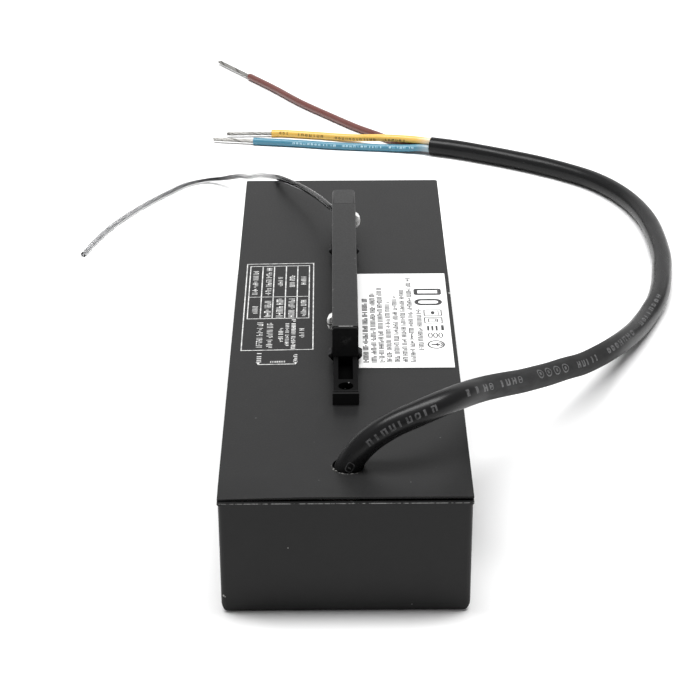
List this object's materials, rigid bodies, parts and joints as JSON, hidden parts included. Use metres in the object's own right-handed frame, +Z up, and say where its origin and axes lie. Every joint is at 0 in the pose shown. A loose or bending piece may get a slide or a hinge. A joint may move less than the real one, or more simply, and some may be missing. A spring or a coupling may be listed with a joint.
{
  "type": "plug-in power supply",
  "caption": "Flat box-shaped LED power supply with a slim plug-in track adapter on its lid, a three-core mains cable with stripped ends and a thin tether wire.",
  "frame": {"origin": "centre of the housing's footprint, on the surface it stands on", "axes": "+Z up through the lid, +Y along the length away from the mains cable's hole, +X to the right when seen from the cable end"},
  "size_m": [0.1521, 0.3058, 0.0378],
  "materials": {
    "housing_paint": "matt black powder coat on aluminium sheet",
    "lid_paint": "matt dark grey-black paint on aluminium sheet, dusty",
    "cover_paint": "matt dark grey-black paint on an aluminium profile, bare at the cut edge",
    "black_plastic": "matt black moulded plastic",
    "cap_plastic": "satin dark grey plastic",
    "sealant": "black sealant",
    "plate_white": "matt white printed film",
    "liner_film": "translucent film",
    "contact_metal": "silver plated, slightly dull",
    "screw_steel": "zinc plated",
    "jacket_black": "satin black PVC",
    "jacket_brown": "glossy brown PVC",
    "jacket_yellow": "glossy yellow PVC",
    "jacket_blue": "glossy blue PVC",
    "strand_metal": "tinned copper strands",
    "tether_jacket": "clear jacket over a stranded steel core",
    "lead_red": "red PVC",
    "lead_black": "black PVC",
    "nylon": "natural nylon",
    "tin": "tinned copper",
    "brass": "turned brass",
    "board_green": "green solder mask on glass fibre board",
    "glass_fuse": "sand-filled ceramic tube with metal caps",
    "disc_blue": "blue epoxy coat",
    "disc_green": "dark green epoxy coat",
    "film_yellow": "yellow plastic case",
    "ferrite": "dark grey ferrite",
    "ferrite_yellow": "yellow coated powder core",
    "copper_wire": "enamelled copper wire",
    "tape_yellow": "copper windings under yellow tape",
    "chip_black": "black epoxy package",
    "cap_sleeve": "dark printed sleeve on an aluminium can",
    "heat_aluminium": "bare aluminium",
    "chip_white": "white epoxy package"
  },
  "bodies": {
    "root": {"housing_tray": "housing_paint", "lid_plate": "lid_paint", "lid_seal": "sealant", "rating_plate": "plate_white", "insulation_liner": "liner_film", "adapter_base": "black_plastic", "adapter_core": "black_plastic", "adapter_cover": "cover_paint", "adapter_end_cap": "cap_plastic", "contact_right": "contact_metal", "contact_left": "contact_metal", "adapter_screws": "screw_steel", "output_lead_red": "lead_red", "output_lead_black": "lead_black", "tether_wire": "tether_jacket", "mains_cable": "jacket_black", "brown_core": "jacket_brown", "yellow_core": "jacket_yellow", "blue_core": "jacket_blue", "brown_strands": "strand_metal", "yellow_strands": "strand_metal", "blue_strands": "strand_metal", "cable_tie": "nylon", "line_lead": "jacket_brown", "neutral_lead": "jacket_blue", "earth_lead": "jacket_yellow", "earth_lug": "tin", "earth_screw": "screw_steel", "circuit_board": "board_green", "board_standoffs": "brass", "board_screws": "screw_steel", "fuse": "glass_fuse", "varistor": "disc_blue", "thermistor": "disc_green", "filter_capacitor": "film_yellow", "choke_core": "ferrite", "choke_windings": "copper_wire", "bridge_rectifier": "chip_black", "bulk_capacitors": "cap_sleeve", "transformer_core": "ferrite", "transformer_bobbin": "chip_black", "transformer_winding": "tape_yellow", "heat_plate": "heat_aluminium", "heat_plate_screws": "screw_steel", "switching_transistor": "chip_black", "output_rectifier": "chip_black", "output_capacitors": "cap_sleeve", "output_inductor_core": "ferrite_yellow", "output_inductor_winding": "copper_wire", "controller_chip": "chip_black", "optocoupler": "chip_white", "safety_capacitor": "disc_blue"}
  },
  "joints": []
}
